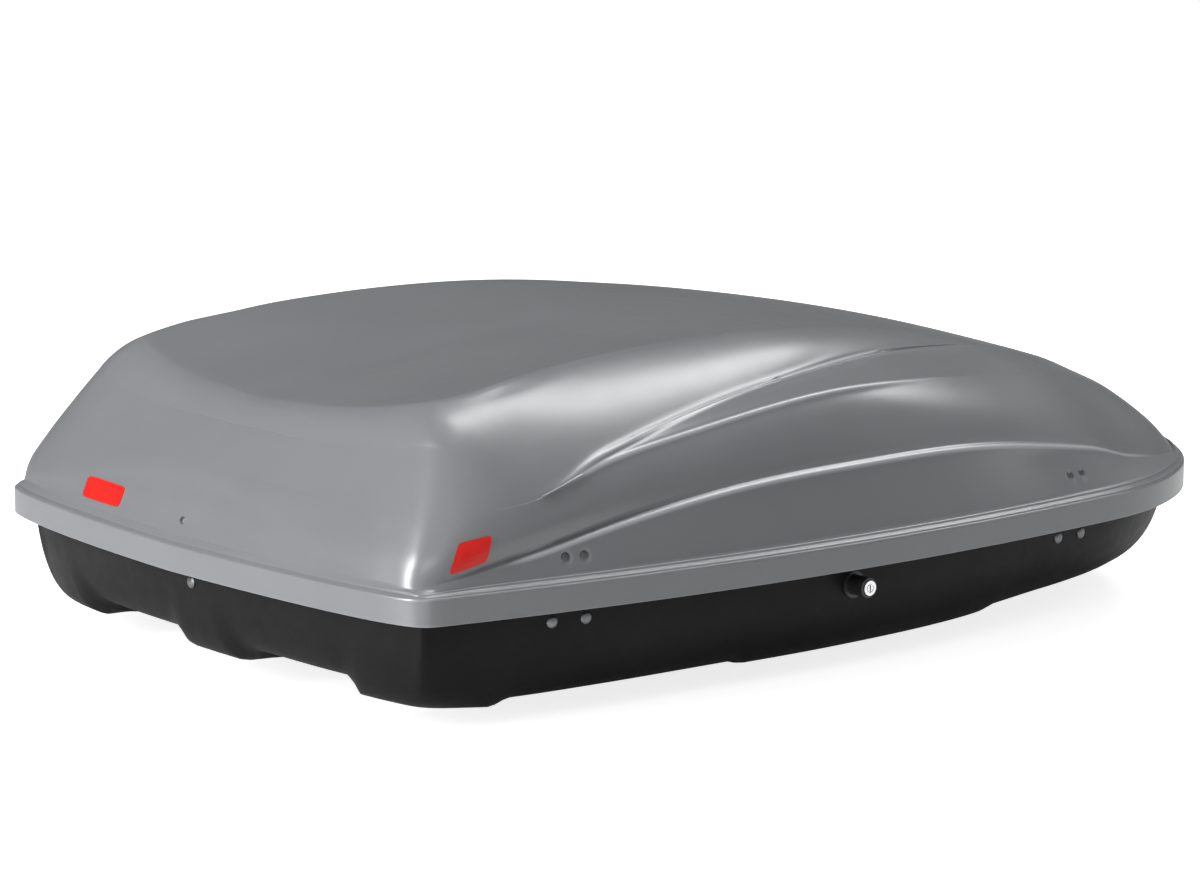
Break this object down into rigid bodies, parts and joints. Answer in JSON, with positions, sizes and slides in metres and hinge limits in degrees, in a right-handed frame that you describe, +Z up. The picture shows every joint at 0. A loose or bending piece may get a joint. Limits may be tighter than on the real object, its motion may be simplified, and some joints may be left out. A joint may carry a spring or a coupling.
{
  "type": "roof cargo box",
  "caption": "Hard-shell roof cargo box with a tiered grey lid hinged along one side, a black tray, a side lock, lid stays and screw clamps for two roof bars.",
  "frame": {"origin": "mid length on the centre line, level with the lowest point of the roof bar clamps", "axes": "+X towards the nose, +Y towards the hinge side, +Z up"},
  "size_m": [1.43, 0.9494, 0.3892],
  "materials": {
    "lid_grey": "satin, very fine grain",
    "tray_black": "matt, fine leather grain",
    "rubber_black": "matt",
    "zinc_steel": "zinc plated",
    "lock_chrome": "polished",
    "stay_steel": "ground",
    "rivet_grey": "satin",
    "rivet_steel": "satin",
    "webbing": "woven",
    "sticker_red": "glossy film",
    "plastic_black": "matt moulded"
  },
  "bodies": {
    "base": {"base_shell": "tray_black", "edge_trim": "rubber_black", "hinge_base_leaves": "zinc_steel", "hinge_pins": "zinc_steel", "hinge_base_rivets": "rivet_steel", "lock_boss": "plastic_black", "bar_guides": "plastic_black", "guide_rivets": "rivet_steel", "rear_socket": "plastic_black", "rear_socket_rivet": "rivet_steel", "stay_base_brackets": "plastic_black", "floor_rails": "zinc_steel", "clamp_plates": "plastic_black", "lashing_straps": "webbing", "strap_buckles": "plastic_black", "strap_anchors": "plastic_black"},
    "lid": {"lid_shell": "lid_grey", "hinge_lid_leaves": "zinc_steel", "hinge_lid_rivets": "rivet_grey", "lid_strikers": "zinc_steel", "striker_rivets": "rivet_grey", "rear_tongue": "zinc_steel", "rear_tongue_rivet": "rivet_grey", "stay_lid_brackets": "plastic_black", "side_stickers": "sticker_red", "rear_sticker": "sticker_red"},
    "lock": {"lock_cylinder": "lock_chrome", "lock_cam": "zinc_steel"},
    "push_bar": {"push_bar": "zinc_steel"},
    "stay_tubes": {"stay_tubes": "plastic_black"},
    "stay_rods": {"stay_rods": "stay_steel"},
    "clamp_front_right": {"clamp_strap_front_right": "zinc_steel", "clamp_yoke_front_right": "zinc_steel"},
    "knob_front_right": {"clamp_knob_front_right": "plastic_black"},
    "clamp_front_left": {"clamp_strap_front_left": "zinc_steel", "clamp_yoke_front_left": "zinc_steel"},
    "knob_front_left": {"clamp_knob_front_left": "plastic_black"},
    "clamp_rear_right": {"clamp_strap_rear_right": "zinc_steel", "clamp_yoke_rear_right": "zinc_steel"},
    "knob_rear_right": {"clamp_knob_rear_right": "plastic_black"},
    "clamp_rear_left": {"clamp_strap_rear_left": "zinc_steel", "clamp_yoke_rear_left": "zinc_steel"},
    "knob_rear_left": {"clamp_knob_rear_left": "plastic_black"}
  },
  "joints": [
    {"name": "lid_hinge", "type": "hinge", "parent": "base", "child": "lid", "pos_m": [0, 0.4313, 0.147], "axis": [-1, 0, 0], "range_deg": [0, 50]},
    {"name": "stay_swing", "type": "hinge", "parent": "base", "child": "stay_tubes", "pos_m": [0, 0.3648, 0.106], "axis": [-1, 0, 0], "range_deg": [0, 40.99]},
    {"name": "stay_extend", "type": "slide", "parent": "stay_tubes", "child": "stay_rods", "axis": [0, -0.4001, 0.9165], "range_m": [0, 0.05844]},
    {"name": "lock_turn", "type": "hinge", "parent": "base", "child": "lock", "pos_m": [-0.068, -0.44, 0.114], "axis": [0, 1, 0], "range_deg": [0, 90]},
    {"name": "bar_slide", "type": "slide", "parent": "base", "child": "push_bar", "axis": [1, 0, 0], "range_m": [0, 0.0198]},
    {"name": "knob_turn_front_right", "type": "hinge", "parent": "base", "child": "knob_front_right", "pos_m": [0.37, -0.23, 0.073], "axis": [0, 0, 1], "range_deg": [0, 1440]},
    {"name": "clamp_slide_front_right", "type": "slide", "parent": "base", "child": "clamp_front_right", "axis": [0, 0, -1], "range_m": [0, 0.0101]},
    {"name": "knob_turn_front_left", "type": "hinge", "parent": "base", "child": "knob_front_left", "pos_m": [0.37, 0.23, 0.073], "axis": [0, 0, 1], "range_deg": [0, 1440]},
    {"name": "clamp_slide_front_left", "type": "slide", "parent": "base", "child": "clamp_front_left", "axis": [0, 0, -1], "range_m": [0, 0.0101]},
    {"name": "knob_turn_rear_right", "type": "hinge", "parent": "base", "child": "knob_rear_right", "pos_m": [-0.36, -0.23, 0.073], "axis": [0, 0, 1], "range_deg": [0, 1440]},
    {"name": "clamp_slide_rear_right", "type": "slide", "parent": "base", "child": "clamp_rear_right", "axis": [0, 0, -1], "range_m": [0, 0.0101]},
    {"name": "knob_turn_rear_left", "type": "hinge", "parent": "base", "child": "knob_rear_left", "pos_m": [-0.36, 0.23, 0.073], "axis": [0, 0, 1], "range_deg": [0, 1440]},
    {"name": "clamp_slide_rear_left", "type": "slide", "parent": "base", "child": "clamp_rear_left", "axis": [0, 0, -1], "range_m": [0, 0.0101]}
  ],
  "couplings": [
    {"joint": "stay_swing", "follows": "lid_hinge", "ratio": 0.81585},
    {"joint": "stay_extend", "follows": "lid_hinge", "m_per_rad": 0.066735},
    {"joint": "lock_turn", "follows": "bar_slide", "rad_per_m": 79.32},
    {"joint": "clamp_slide_front_right", "follows": "knob_turn_front_right", "m_per_rad": 0.0003979},
    {"joint": "clamp_slide_front_left", "follows": "knob_turn_front_left", "m_per_rad": 0.0003979},
    {"joint": "clamp_slide_rear_right", "follows": "knob_turn_rear_right", "m_per_rad": 0.0003979},
    {"joint": "clamp_slide_rear_left", "follows": "knob_turn_rear_left", "m_per_rad": 0.0003979}
  ]
}
